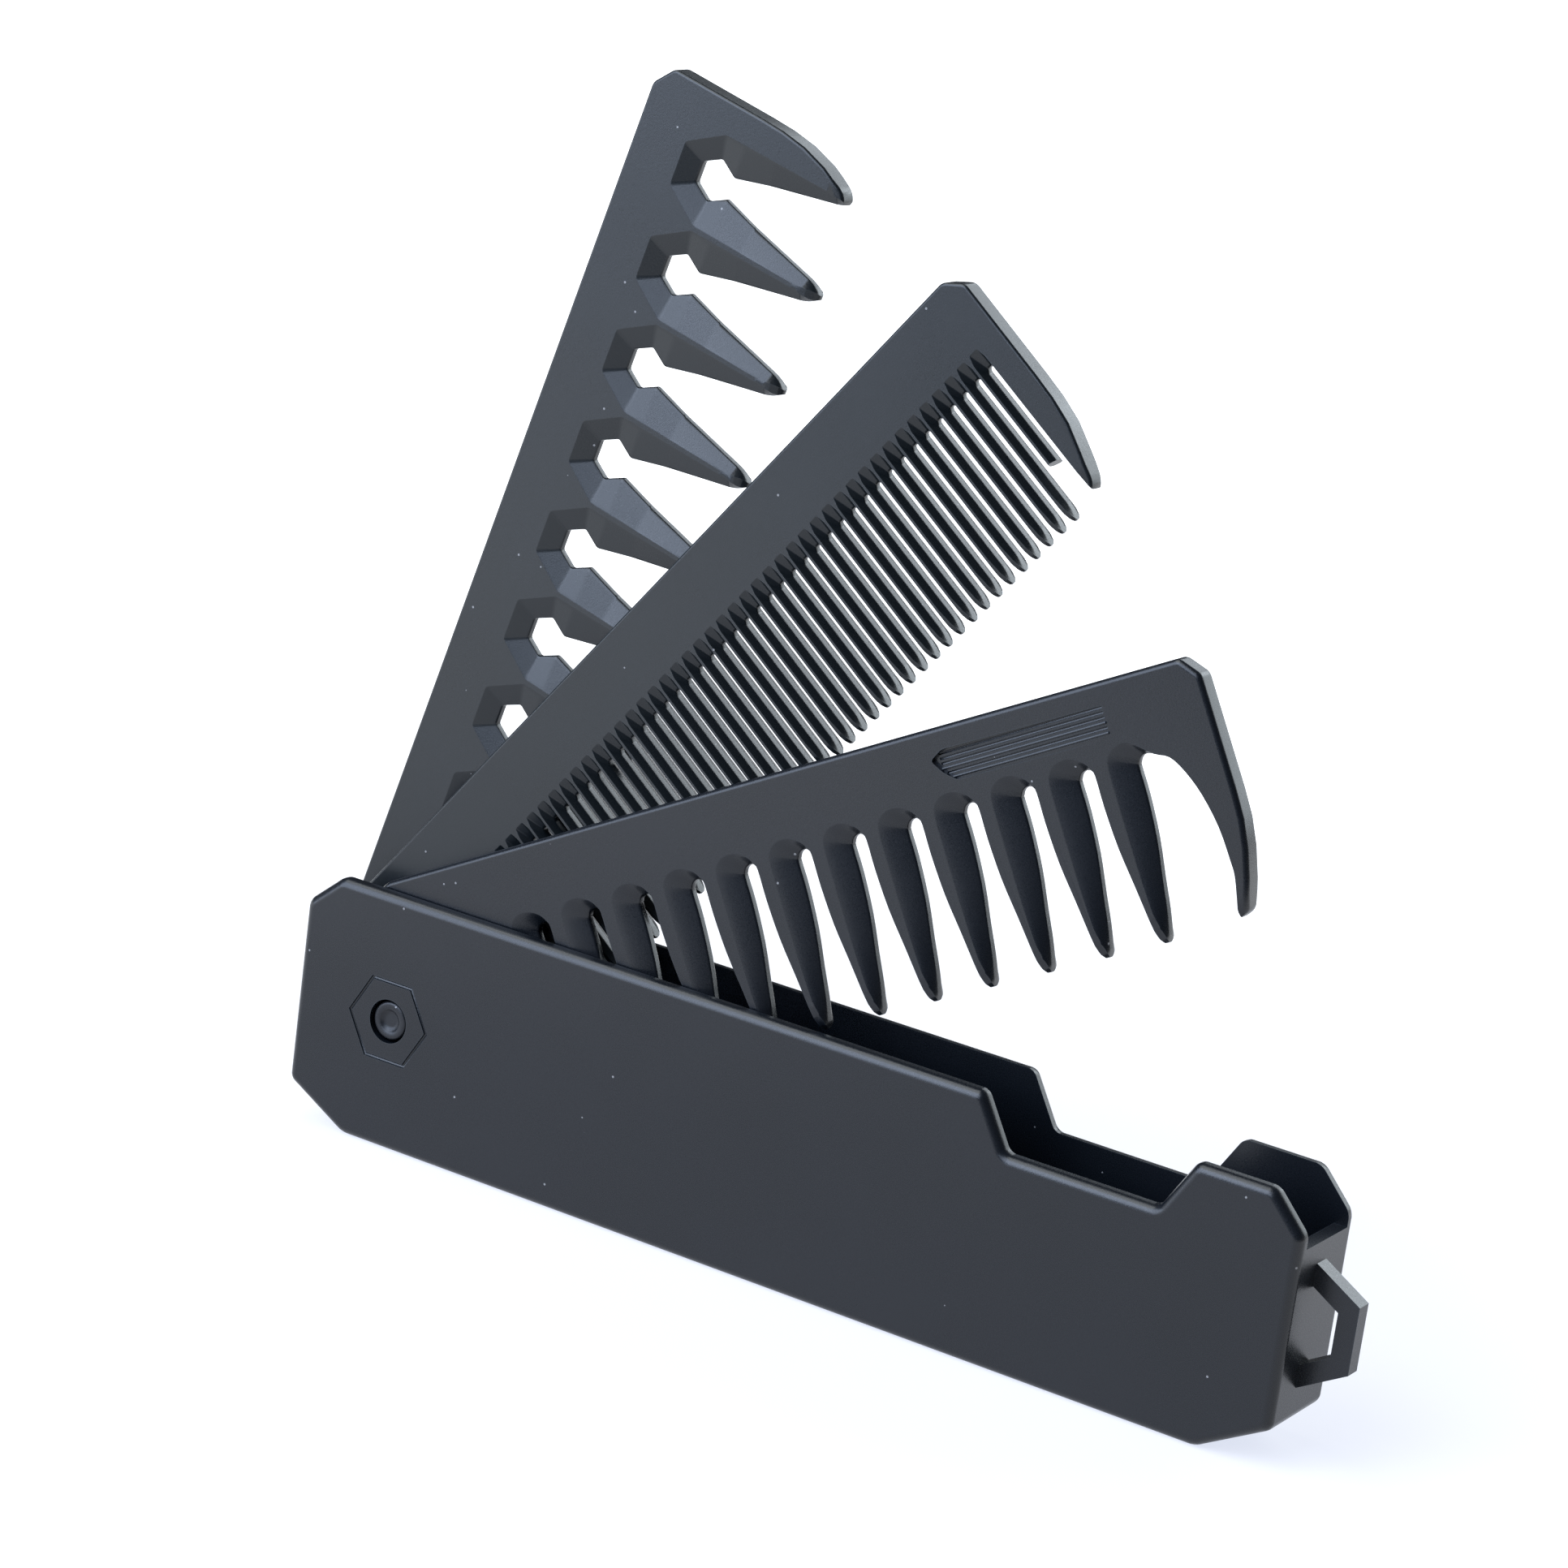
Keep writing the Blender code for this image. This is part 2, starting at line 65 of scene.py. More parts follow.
def edit(piece):
    """Goes into edit mode with nothing picked."""
    take(piece)
    bpy.ops.object.mode_set(mode="EDIT")
    bpy.ops.mesh.select_mode(type="EDGE")
    bpy.ops.mesh.select_all(action="DESELECT")


def leave():
    bpy.ops.object.mode_set(mode="OBJECT")


def pick(piece, kind, wanted):
    """In edit mode, picks the edges or the faces that satisfy the test, and says how many."""
    bpy.ops.mesh.select_mode(type="EDGE" if kind == "edges" else "FACE")
    bpy.ops.mesh.select_all(action="DESELECT")
    shape = bmesh.from_edit_mesh(piece.data)
    found = 0
    for part in getattr(shape, kind):
        chosen = bool(wanted(part))
        part.select_set(chosen)
        found += chosen
    bmesh.update_edit_mesh(piece.data)
    return found


def spans_y(edge, length):
    """Whether an edge runs from front to back over at least this length."""
    return abs(edge.verts[0].co.y - edge.verts[1].co.y) > length


def faces_y(face, side):
    return face.normal.y * side > 0.99


# %% [markdown]
# Most of the shape comes from three moves: add a block where it belongs, slice along a plane,
# and cut one solid out of another. Two finishing moves follow: a small bevel on sharp edges, and
# shading that keeps flat faces flat.

# %% Helpers for blocks, cuts and finishing
def block(name, low, high):
    """A cube added between two corners, with its place and size put into its mesh."""
    bpy.ops.object.select_all(action="DESELECT")
    middle = [(a + b) / 2 for a, b in zip(low, high)]
    size = [b - a for a, b in zip(low, high)]
    bpy.ops.mesh.primitive_cube_add(size=1, location=middle, scale=size)
    made = bpy.context.object
    made.name = name
    bpy.ops.object.transform_apply()
    return made


def cut_through(point, outward):
    """In edit mode, clears all that lies beyond a plane and closes the cut."""
    bpy.ops.mesh.select_all(action="SELECT")
    bpy.ops.mesh.bisect(
        plane_co=point,
        plane_no=Vector(outward).normalized(),
        use_fill=True,
        clear_outer=True,
        threshold=0.001 * MM,
    )


def slice_off(piece, point, outward):
    """Cuts a corner off along a plane and closes the cut."""
    edit(piece)
    cut_through(point, outward)
    leave()


def combine(piece, tool, operation="DIFFERENCE"):
    """Cuts a tool out of a piece, or joins it on, and puts the tool away."""
    step = piece.modifiers.new("Combine", "BOOLEAN")
    step.operation = operation
    step.solver = "EXACT"
    step.object = tool
    take(piece)
    bpy.ops.object.modifier_apply(modifier=step.name)
    bpy.data.objects.remove(tool)


def soften(piece, width, segments, angle=30):
    """Rounds the sharp edges a little and keeps the flat faces flat when shaded."""
    step = piece.modifiers.new("Soft edges", "BEVEL")
    step.width = width
    step.segments = segments
    step.limit_method = "ANGLE"
    step.angle_limit = math.radians(angle)
    step.miter_outer = "MITER_ARC"
    take(piece)
    bpy.ops.object.modifier_apply(modifier=step.name)


def even_shading(piece, sharp=40):
    """Smooth shading weighted by face area, with creases over the sharp angle."""
    take(piece)
    bpy.ops.object.shade_smooth_by_angle(angle=math.radians(sharp))
    step = piece.modifiers.new("Even shading", "WEIGHTED_NORMAL")
    step.keep_sharp = True
    bpy.ops.object.modifier_apply(modifier=step.name)


# %% [markdown]
# ## The case
#
# The case is one moulding: two side plates with clipped corners, a floor, an end wall and a key
# loop. It could be lofted from a drawn outline, but the maker's order is easier to follow: start
# with the full block, clip its four corners, sink the finger notch, round the outline and both
# faces, and only then hollow it out.

# %% Block and clipped corners
CASE_END = 65.0 * MM
CASE_HALF = 6.4 * MM
CASE_TOP = 30.45 * MM
CHAMFERS = {
    "low pivot end": (-1, -1, 8.25 * MM, 4.45 * MM),
    "low loop end": (1, -1, 8.3 * MM, 4.7 * MM),
    "top loop end": (1, 1, 4.0 * MM, 4.2 * MM),
    "top pivot end": (-1, 1, 4.5 * MM, 3.9 * MM),
}

case = block("case_shell", (-CASE_END, -CASE_HALF, 0), (CASE_END, CASE_HALF, CASE_TOP))
for side, level, along, up in CHAMFERS.values():
    corner = Vector((side * CASE_END, 0, CASE_TOP if level > 0 else 0))
    slice_off(case, corner - Vector((side * along, 0, 0)), (side * up, 0, level * along))
print("Case block with clipped corners:", len(case.data.polygons), "faces")

# %% [markdown]
# The notch lets a finger reach the folded combs. A block whose top face is spread wider gives it
# slanting sides in one cut.

# %% Finger notch
NOTCH_MIDDLE = -65.0 * MM + 103.95 * MM
NOTCH_HALF = 9.25 * MM
NOTCH_SLOPE = 3.6 / 6.1
NOTCH_FLOOR = 24.35 * MM
ABOVE = 5 * MM

notch = block(
    "notch_tool",
    (NOTCH_MIDDLE - NOTCH_HALF, -2 * CASE_HALF, NOTCH_FLOOR),
    (NOTCH_MIDDLE + NOTCH_HALF, 2 * CASE_HALF, CASE_TOP + ABOVE),
)
edit(notch)
pick(notch, "faces", lambda f: f.normal.z > 0.9)
spread = 1 + NOTCH_SLOPE * (CASE_TOP + ABOVE - NOTCH_FLOOR) / NOTCH_HALF
bpy.ops.transform.resize(value=(spread, 1, 1), center_override=(NOTCH_MIDDLE, 0, CASE_TOP + ABOVE))
leave()
combine(case, notch)
print("Finger notch:", round(2 * NOTCH_HALF / MM, 2), "mm wide at its floor")

# %% [markdown]
# A moulded case has no sharp corner. The corners of the outline run from front to back and get
# a small radius first, so that the larger rounding of the two faces can follow them.

# %% Rounded outline and rounded faces
CORNER = 0.7 * MM
CORNER_STEPS = 4
EDGE_ROUND = 1.1 * MM
EDGE_STEPS = 5


def on_face_rim(edge):
    """An edge that lies in the front or in the back face."""
    return all(abs(abs(corner.co.y) - CASE_HALF) < 0.01 * MM for corner in edge.verts)


edit(case)
corners = pick(case, "edges", lambda e: spans_y(e, CASE_HALF))
bpy.ops.mesh.bevel(offset=CORNER, segments=CORNER_STEPS, affect="EDGES")
bpy.ops.mesh.select_all(action="DESELECT")
rims = pick(case, "edges", lambda e: on_face_rim(e) and not spans_y(e, MM))
bpy.ops.mesh.bevel(offset=EDGE_ROUND, segments=EDGE_STEPS, affect="EDGES")
leave()
print("Outline:", corners, "corners and", rims, "face edges rounded")

# %% [markdown]
# ## The hollow of the case
#
# The combs swing in a channel that is open along the top, at the pivot end and over the low end
# wall. Blocks are cut away one after the other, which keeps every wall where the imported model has
# it.

# %% Channel, heel opening and end wall
CHANNEL_HALF = 4.8 * MM
FLOOR = 1.0 * MM
FLOOR_START = -52.2 * MM
INNER_END = 63.4 * MM
END_WALL_TOP = 24.65 * MM

channel = block(
    "channel_tool",
    (-CASE_END - ABOVE, -CHANNEL_HALF, FLOOR),
    (INNER_END, CHANNEL_HALF, CASE_TOP + ABOVE),
)
_, _, along, up = CHAMFERS["low loop end"]
lift = FLOOR * math.hypot(1, up / along)
slice_off(channel, (CASE_END - along, 0, lift), (up, 0, -along))
combine(case, channel)
heel_opening = block(
    "heel_tool",
    (-CASE_END - ABOVE, -CHANNEL_HALF, -ABOVE),
    (FLOOR_START, CHANNEL_HALF, CASE_TOP / 2),
)
combine(case, heel_opening)
over_wall = block(
    "over_wall_tool",
    (INNER_END - MM, -CHANNEL_HALF, END_WALL_TOP),
    (CASE_END + ABOVE, CHANNEL_HALF, CASE_TOP + ABOVE),
)
combine(case, over_wall)
print("Channel:", round(2 * CHANNEL_HALF / MM, 2), "mm wide")

# %% [markdown]
# ## The key loop
#
# Half a hexagon stands on the end wall, with a hole of the same shape for a key ring. A block is
# pinched at its outer end, and a smaller one pinched the same way is taken out of it.

# %% Loop
LOOP_MIDDLE = 15.25 * MM
LOOP_Y = -0.35 * MM
LOOP_HALF_THICK = 1.05 * MM
LOOP_REACH = 5.5 * MM
LOOP_ROOT = 7.0 * MM
LOOP_TIP = 3.8 * MM
LOOP_SUNK = 0.8 * MM
HOLE_REACH = 3.2 * MM
HOLE_ROOT = 4.4 * MM
HOLE_TIP = 2.5 * MM


def pinched_block(name, start, reach, root, tip, half_thick):
    """A block on the end wall whose outer face is made lower than its root."""
    made = block(
        name,
        (start, LOOP_Y - half_thick, LOOP_MIDDLE - root),
        (CASE_END + reach, LOOP_Y + half_thick, LOOP_MIDDLE + root),
    )
    edit(made)
    pick(made, "faces", lambda f: f.normal.x > 0.9)
    bpy.ops.transform.resize(value=(1, 1, tip / root), center_override=(0, 0, LOOP_MIDDLE))
    leave()
    return made


loop = pinched_block("loop_plate", CASE_END, LOOP_REACH, LOOP_ROOT, LOOP_TIP, LOOP_HALF_THICK)
edit(loop)
pick(loop, "faces", lambda f: f.normal.x < -0.9)
bpy.ops.mesh.extrude_region_move(TRANSFORM_OT_translate={"value": (-LOOP_SUNK, 0, 0)})
leave()
hole = pinched_block("loop_hole", CASE_END, HOLE_REACH, HOLE_ROOT, HOLE_TIP, 2 * LOOP_HALF_THICK)
combine(loop, hole)
combine(case, loop, "UNION")
print("Key loop joined:", len(case.data.polygons), "faces")

# %% [markdown]
# A cylinder drills the pin's holes through both plates. The line round the pin is a six-sided
# ring of thin round section, sunk to half its thickness in the front face.

# %% Pin holes and hexagon line
PIVOT = Vector((-51.6 * MM, 0, 15.45 * MM))
BORE_RADIUS = 2.6 * MM
HEXAGON_RADIUS = 5.45 * MM
GROOVE_RADIUS = 0.24 * MM
ROUND_SIDES = 64

bpy.ops.object.select_all(action="DESELECT")
bpy.ops.mesh.primitive_cylinder_add(
    vertices=ROUND_SIDES,
    radius=BORE_RADIUS,
    depth=4 * CASE_HALF,
    location=PIVOT,
    rotation=(math.pi / 2, 0, 0),
)
bore = bpy.context.object
bpy.ops.object.transform_apply()
combine(case, bore)
bpy.ops.object.select_all(action="DESELECT")
bpy.ops.mesh.primitive_torus_add(
    major_segments=6,
    minor_segments=8,
    major_radius=HEXAGON_RADIUS,
    minor_radius=GROOVE_RADIUS,
    location=PIVOT - Vector((0, CASE_HALF, 0)),
    rotation=(math.pi / 2, 0, 0),
)
hexagon = bpy.context.object
bpy.ops.object.transform_apply()
combine(case, hexagon)
print("Pin holes and hexagon line cut:", len(case.data.polygons), "faces")

# %% [markdown]
# The edges that the cuts left sharp are broken by a very small bevel, as a mould leaves them.
# Then the case rides on its body and takes the place of the plain solid.

# %% Soft edges of the moulding
EDGE_BREAK = 0.13 * MM
SHARP_ANGLE = 35

soften(case, EDGE_BREAK, 2, SHARP_ANGLE)
even_shading(case)
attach(case, "case")
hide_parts("case")
print("Case:", len(case.data.polygons), "faces")

# %% [markdown]
# ## The pivot pin
#
# The pin is a turned rivet with a dished head. A cylinder gets its head by insetting the front
# face and pressing it in, ring by ring.

# %% Pin
PIN_RADIUS = 2.3 * MM
PIN_HALF = CASE_HALF - 0.3 * MM
PIN_EDGE = 0.35 * MM
DISH_WIDTHS = (0.5 * MM, 0.12 * MM, 0.25 * MM, 0.4 * MM)
DISH_DEPTHS = (0.0, 0.1 * MM, 0.22 * MM, 0.1 * MM)

bpy.ops.object.select_all(action="DESELECT")
bpy.ops.mesh.primitive_cylinder_add(
    vertices=ROUND_SIDES,
    radius=PIN_RADIUS,
    depth=2 * PIN_HALF,
    location=PIVOT,
    rotation=(math.pi / 2, 0, 0),
)
pin = bpy.context.object
pin.name = "pin"
bpy.ops.object.transform_apply()
edit(pin)
pick(pin, "edges", lambda e: not spans_y(e, MM) and e.calc_face_angle(0) > 1)
bpy.ops.mesh.bevel(offset=PIN_EDGE, segments=4, affect="EDGES")
pick(pin, "faces", lambda f: faces_y(f, -1))
for width, depth in zip(DISH_WIDTHS, DISH_DEPTHS):
    bpy.ops.mesh.inset(thickness=width)
    bpy.ops.transform.translate(value=(0, depth, 0))
leave()
even_shading(pin)
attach(pin, "case")
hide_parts("pivot_pin")
print("Pin:", len(pin.data.polygons), "faces")

# %% [markdown]
# ## The three combs
#
# A comb is a flat plate with a round heel, and its teeth are what is left between gaps. The gaps
# could be cut straight, but here each one flares towards both faces, which gives every tooth its
# slanting facets. So a gap is modelled once, as a tool that is narrow at the middle of the plate
# and wide at its faces, copied along the comb, and cut out in one go.
#
# A comb is made lying along X with its pivot at the origin: u runs along it and v up to its
# spine. Only at the end is it laid in its place.

# %% Comb plate
COMB_HALF = 1.4 * MM
HEEL_RADIUS = 12.6 * MM
HEEL_SWEEP = (110, 264, 21)
RECESS_SWEEP = (262, 310, 4)
RECESS_SIDE = -2 * MM
BELOW_TIPS = -16 * MM
PLATE_CORNER = 0.45 * MM
TAPER_FROM = -10.5 * MM
TAPER_LEAN = (5.5, -0.6)


def in_metres(points):
    return [(u * MM, v * MM) for u, v in points]


def heel_arc(start, stop, steps):
    """Points round the pivot, in degrees from the direction of the comb."""
    turns = [math.radians(start + (stop - start) * step / steps) for step in range(steps + 1)]
    return [(HEEL_RADIUS * math.cos(t), HEEL_RADIUS * math.sin(t)) for t in turns]


def trim(piece, outline):
    """Slices a block along each side of an outline that bulges everywhere, anticlockwise."""
    edit(piece)
    for (u, v), (next_u, next_v) in zip(outline, outline[1:] + outline[:1]):
        cut_through(Vector((u, 0, v)), Vector((next_v - v, 0, u - next_u)))
    leave()


def tool_through(name, rings):
    """A closed tool through rings, each a depth y and its points, made ring by ring."""
    first_y, first = rings[0]
    bpy.ops.object.select_all(action="DESELECT")
    bpy.ops.mesh.primitive_circle_add(
        vertices=len(first), radius=MM, fill_type="NGON", rotation=(math.pi / 2, 0, 0)
    )
    tool = bpy.context.object
    tool.name = name
    bpy.ops.object.transform_apply()
    edit(tool)
    bpy.ops.mesh.select_all(action="SELECT")
    shape = bmesh.from_edit_mesh(tool.data)
    for corner, (u, v) in zip(shape.verts, first):
        corner.co = (u, first_y, v)
    before = first
    for y, points in rings[1:]:
        bpy.ops.mesh.extrude_region_move(TRANSFORM_OT_translate={"value": (0, 0, 0)})
        shape = bmesh.from_edit_mesh(tool.data)
        for corner in [v for v in shape.verts if v.select]:
            here = (corner.co.x, corner.co.z)
            index = min(range(len(before)), key=lambda i: math.dist(before[i], here))
            corner.co = (points[index][0], y, points[index][1])
        bmesh.update_edit_mesh(tool.data)
        before = points
    bpy.ops.mesh.select_all(action="SELECT")
    bpy.ops.mesh.normals_make_consistent(inside=False)
    leave()
    return tool


# Slices that round the tips, each with the depth and the height above the tips, in mm, that it
# goes through, and how much it faces outward and down.
TIP_FACETS = ((1.1, 1.2, 0.9, 0.35), (0.85, 0.55, 0.7, 0.7), (0.5, 0.12, 0.35, 0.9))


def comb_plate(name, end, spine_start, heel_edge, rim, rim_steps):
    """A plate with its heel, with round corners, thinned and rounded towards the tips."""
    inner, lower_start = in_metres(heel_edge)
    outline = in_metres(end) + [spine_start] + heel_arc(*HEEL_SWEEP) + [lower_start]
    low = Vector((min(u for u, v in outline), -COMB_HALF, min(v for u, v in outline)))
    high = Vector((max(u for u, v in outline), COMB_HALF, max(v for u, v in outline)))
    margin = Vector((MM, 0, MM))
    plate = block(name, low - margin, high + margin)
    trim(plate, outline)
    below = [(lower_start[0], BELOW_TIPS), (RECESS_SIDE, BELOW_TIPS)]
    recess = heel_arc(*RECESS_SWEEP) + [inner, lower_start] + below
    combine(plate, tool_through("heel_recess", [(-2 * MM, recess), (2 * MM, recess)]))
    edit(plate)
    pick(plate, "edges", lambda e: spans_y(e, MM) and e.calc_face_angle(0) > math.radians(15))
    bpy.ops.mesh.bevel(offset=PLATE_CORNER, segments=3, affect="EDGES")
    leave()
    outward, down = TAPER_LEAN
    for side in (-1, 1):
        slice_off(plate, (0, side * COMB_HALF, TAPER_FROM), (0, outward * side, down))
    edit(plate)
    pick(plate, "edges", lambda e: not spans_y(e, MM) and e.calc_face_angle(0) > math.radians(60))
    bpy.ops.mesh.bevel(offset=rim, segments=rim_steps, affect="EDGES")
    leave()
    bpy.ops.object.select_all(action="DESELECT")
    bpy.ops.mesh.primitive_cylinder_add(
        vertices=ROUND_SIDES, radius=BORE_RADIUS, depth=4 * COMB_HALF, rotation=(math.pi / 2, 0, 0)
    )
    drill = bpy.context.object
    bpy.ops.object.transform_apply()
    combine(plate, drill)
    for side in (-1, 1):
        for half, above, outward, down in TIP_FACETS:
            spot = (0, side * half * MM, lower_start[1] + above * MM)
            slice_off(plate, spot, (0, outward * side, -down))
    return plate


# %% [markdown]
# A gap tool is a stack of rings, from the front face to the back one. Every ring lies between
# a narrow inner outline and a wide outer one, and a profile says how far it has gone at each
# depth. Both outlines are a few listed points, with soft corners or a curve through them.

# %% Gap tools
def flared_rings(inner, outer, profile):
    """Rings from the front face to the back one: inner at the middle, outer at the faces."""
    def ring(share):
        return [(a + (c - a) * share, b + (d - b) * share) for (a, b), (c, d) in zip(inner, outer)]

    front = [(-y * MM, ring(share)) for y, share in reversed(profile)]
    back = [(y * MM, ring(share)) for y, share in profile]
    return front + back


def softened(points, reach):
    """A closed ring whose corners are each rounded by two more points."""
    rounded = []
    for before, here, after in zip(points[-1:] + points[:-1], points, points[1:] + points[:1]):
        near = [Vector(p) - Vector(here) for p in (before, after)]
        steps = [d.normalized() * min(reach, 0.4 * d.length) for d in near]
        start, end = (Vector(here) + step for step in steps)
        rounded += [tuple(start), tuple((start + 2 * Vector(here) + end) / 4), tuple(end)]
    return rounded


def curved(points, steps=3):
    """A smooth curve from the first of the points to the last, through all of them."""
    smooth = []
    last = len(points) - 1
    for index in range(last):
        a, b, c, d = (Vector(points[min(max(index + k, 0), last)]) for k in (-1, 0, 1, 2))
        for step in range(steps):
            t = step / steps
            spot = b + (c - a) * t / 2 + (2 * a - 5 * b + 4 * c - d) * t * t / 2
            smooth.append(tuple(spot + (3 * b - a - 3 * c + d) * t**3 / 2))
    return smooth + [tuple(points[-1])]


def along_comb(tool, count, pitch):
    """Copies of a tool along the comb, each with its own mesh."""
    tools = [tool]
    for index in range(1, count):
        take(tools[-1])
        bpy.ops.object.duplicate(linked=False)
        bpy.ops.transform.translate(value=(-pitch, 0, 0))
        bpy.ops.object.transform_apply()
        tools.append(bpy.context.object)
    return tools


def merged(tools):
    """Several tools as one."""
    take(tools[0])
    for tool in tools:
        tool.select_set(True)
    bpy.ops.object.join()
    return tools[0]


# %% [markdown]
# The combs are made lying flat, since picking and cutting are easier there. One turn about the
# pin and one move then put a comb in its layer. The two profiles say how the facets of the teeth
# fall: straight, or hollow like a scoop.

# %% Laying in place
LAYER_STEP = 3.1 * MM


def lay_in_place(comb, layer, angle):
    """Turns the comb up to its open angle and moves it onto the pin."""
    take(comb)
    comb.rotation_euler = (0, -math.radians(angle), 0)
    comb.location = PIVOT + Vector((0, layer * LAYER_STEP, 0))
    bpy.ops.object.transform_apply()


# Depth from the middle of the plate in mm, and the share of the way from inner to outer outline.
CRISP = ((0.30, 0.0), (0.43, 0.02), (0.54, 0.10), (1.28, 0.88), (1.36, 0.98), (1.42, 1.04))
SCOOPED = (
    (0.30, 0.0),
    (0.43, 0.015),
    (0.55, 0.08),
    (0.80, 0.30),
    (1.00, 0.49),
    (1.20, 0.72),
    (1.30, 0.87),
    (1.37, 1.00),
    (1.42, 1.12),
)

# %% [markdown]
# ## The detangling comb
#
# The rear comb has eight wide gaps that start in a hexagonal hole. A row of a gap gives half its
# inner width with its v, and half its outer width with its v. The gap is the same on both sides.

# %% Detangling comb
DETANGLING_END = (
    (105.0, -13.9),
    (110.4, -12.7),
    (111.1, -12.0),
    (112.4, -9.2),
    (113.3, -6.1),
    (113.7, -3.0),
    (113.8, 0.0),
    (113.9, 12.2),
    (111.4, 14.3),
)
DETANGLING_GAP = (
    (1.25, 5.4, 2.55, 7.8),
    (2.50, 3.25, 5.40, 3.3),
    (1.25, 1.1, 5.40, 0.6),
    (2.50, -3.4, 5.42, -3.4),
    (4.45, -12.0, 5.48, -12.0),
    (4.75, -12.8, 5.50, -12.8),
    (5.10, -13.4, 5.52, -13.4),
    (5.40, -13.75, 5.56, -13.75),
    (5.60, -14.3, 5.62, -14.3),
)
DETANGLING_MIDDLE = 104.85 * MM
DETANGLING_GAPS = 8
DETANGLING_PITCH = 11.4 * MM
DETANGLING_OPEN = 75.0
RIM = 0.35 * MM
RIM_STEPS = 4


def mirrored_gap(name, right, left, middle, reach, profile):
    """A gap from half widths: down its right side and up its left one."""
    rows = [(a, b, c, d) for a, b, c, d in right] + [(-a, b, -c, d) for a, b, c, d in reversed(left)]
    inner = [(middle + a * MM, b * MM) for a, b, c, d in rows]
    outer = [(middle + c * MM, d * MM) for a, b, c, d in rows]
    rings = flared_rings(softened(inner, reach), softened(outer, 1.4 * reach), profile)
    return tool_through(name, rings)


detangling = comb_plate(
    "detangling_teeth",
    DETANGLING_END,
    (4.0 * MM, 14.55 * MM),
    ((15.5, -9.6), (18.6, -13.9)),
    RIM,
    RIM_STEPS,
)
gap = mirrored_gap(
    "detangling_gap", DETANGLING_GAP, DETANGLING_GAP, DETANGLING_MIDDLE, 0.25 * MM, CRISP
)
combine(detangling, merged(along_comb(gap, DETANGLING_GAPS, DETANGLING_PITCH)))
even_shading(detangling)
lay_in_place(detangling, 1, DETANGLING_OPEN)
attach(detangling, "detangling_comb")
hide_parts("detangling_comb")
print("Detangling comb:", len(detangling.data.polygons), "faces")

# %% [markdown]
# ## The fine comb
#
# The middle comb has forty-three narrow gaps, and the last tooth but one is short.

# %% Fine comb
FINE_END = (
    (108.0, -13.8),
    (110.4, -12.9),
    (111.1, -12.0),
    (112.0, -9.3),
    (113.0, -6.1),
    (113.4, -3.0),
    (113.5, 0.0),
    (113.6, 12.5),
    (111.6, 14.45),
)
FINE_GAP = (
    (0.26, 4.5, 0.60, 6.6),
    (0.50, 4.0, 0.90, 5.4),
    (0.52, -11.8, 0.90, -11.8),
    (0.62, -12.6, 0.91, -12.6),
    (0.78, -13.3, 0.93, -13.3),
    (1.00, -14.3, 1.02, -14.3),
)
GUARD_GAP = (
    (0.30, 4.5, 0.60, 6.6),
    (0.80, 4.0, 0.88, 5.4),
    (0.85, -11.8, 0.90, -11.8),
    (0.85, -12.6, 0.90, -12.6),
    (0.85, -13.3, 0.90, -13.3),
    (0.85, -14.3, 0.90, -14.3),
)
FINE_FIRST = 109.45 * MM
FINE_PITCH = 2.1 * MM
FINE_GAPS = 43
FINE_OPEN = 52.8
SHORT_HALF = 0.8 * MM
SHORT_TIP = -7.8 * MM

fine = comb_plate(
    "fine_teeth", FINE_END, (4.0 * MM, 15.0 * MM), ((15.5, -9.6), (18.5, -13.8)), RIM, RIM_STEPS
)
guard_gap = mirrored_gap("guard_gap", GUARD_GAP, FINE_GAP, FINE_FIRST, 0.12 * MM, CRISP)
gap = mirrored_gap("fine_gap", FINE_GAP, FINE_GAP, FINE_FIRST - FINE_PITCH, 0.12 * MM, CRISP)
combine(fine, merged([guard_gap] + along_comb(gap, FINE_GAPS - 1, FINE_PITCH)))
short_middle = FINE_FIRST - FINE_PITCH / 2
short_end = block(
    "short_tooth_end",
    (short_middle - SHORT_HALF, -2 * COMB_HALF, BELOW_TIPS),
    (short_middle + SHORT_HALF, 2 * COMB_HALF, SHORT_TIP),
)
combine(fine, short_end)
even_shading(fine)
lay_in_place(fine, 0, FINE_OPEN)
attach(fine, "fine_comb")
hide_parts("fine_comb")
print("Fine comb:", len(fine.data.polygons), "faces")

# %% [markdown]
# ## The wide comb
#
# The front comb has twelve wide gaps with round roots. Each tooth is scooped on one side.

# %% Wide comb
WIDE_END = (
    (106.0, -13.4),
    (110.3, -12.65),
    (111.2, -12.2),
    (112.3, -9.2),
    (113.2, -6.0),
    (113.7, -3.0),
    (113.8, 0.0),
    (113.7, 12.4),
    (111.7, 14.6),
)
WIDE_GAP_LEFT = (
    (-2.70, -13.9, -2.70, -13.9),
    (-2.42, -13.25, -2.62, -13.25),
    (-2.20, -12.8, -2.60, -12.8),
    (-2.02, -12.1, -2.62, -12.1),
    (-1.55, -10.0, -2.75, -10.0),
    (-1.05, -6.8, -2.90, -6.8),
    (-0.35, -2.6, -2.95, -2.6),
    (0.00, 1.9, -2.95, 2.4),
    (0.00, 4.9, -2.90, 5.7),
    (0.10, 5.35, -2.45, 6.9),
    (0.45, 5.85, -1.40, 7.6),
    (1.15, 6.10, 0.10, 7.65),
)
